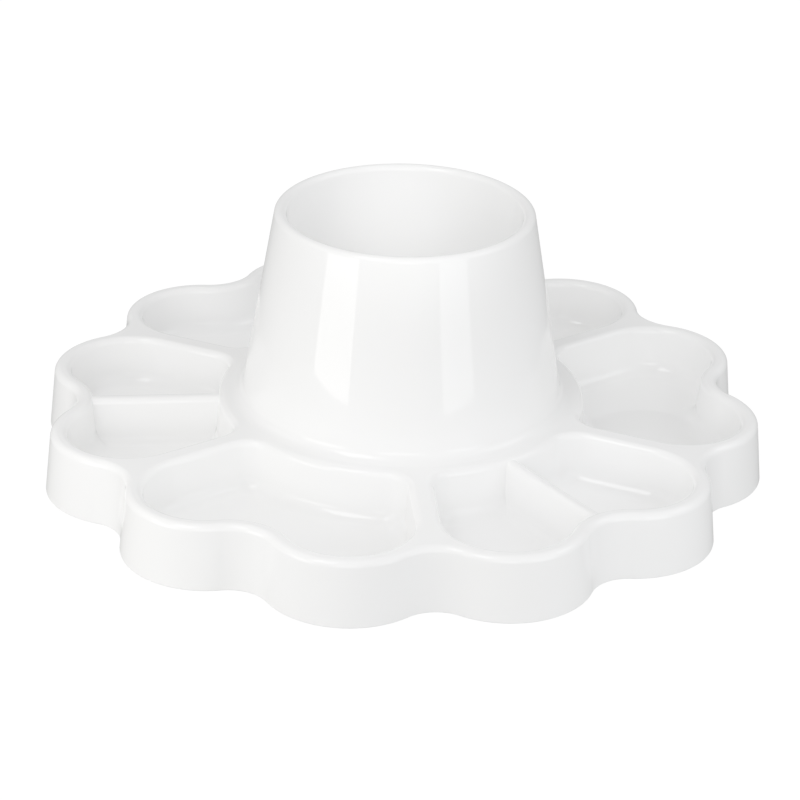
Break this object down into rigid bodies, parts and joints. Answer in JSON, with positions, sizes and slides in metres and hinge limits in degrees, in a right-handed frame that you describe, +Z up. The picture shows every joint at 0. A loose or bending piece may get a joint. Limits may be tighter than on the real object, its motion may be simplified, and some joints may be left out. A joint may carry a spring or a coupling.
{
  "type": "mixing palette",
  "caption": "Flower-shaped paint mixing palette: a petal-edged tray of deep wells, some split by radial dividers, round a tall central cup for water or brushes.",
  "frame": {"origin": "on the cup's axis, at the level that the palette stands on", "axes": "+Z up along the cup's axis; -Y to the front, through the middle of an undivided pan; +X to the right, along a rib between two pans"},
  "size_m": [0.2238, 0.2238, 0.0816],
  "materials": {
    "moulded_plastic": "glossy, as it leaves a polished mould"
  },
  "bodies": {
    "root": {"petal_skirt": "moulded_plastic", "top_deck": "moulded_plastic", "cup_cone": "moulded_plastic", "water_cup": "moulded_plastic", "paint_pan_1": "moulded_plastic", "paint_pan_2": "moulded_plastic", "paint_pan_3": "moulded_plastic", "paint_pan_4": "moulded_plastic", "paint_pan_5": "moulded_plastic", "paint_pan_6": "moulded_plastic", "pan_divider_1": "moulded_plastic", "pan_divider_2": "moulded_plastic", "pan_divider_3": "moulded_plastic"}
  },
  "joints": []
}
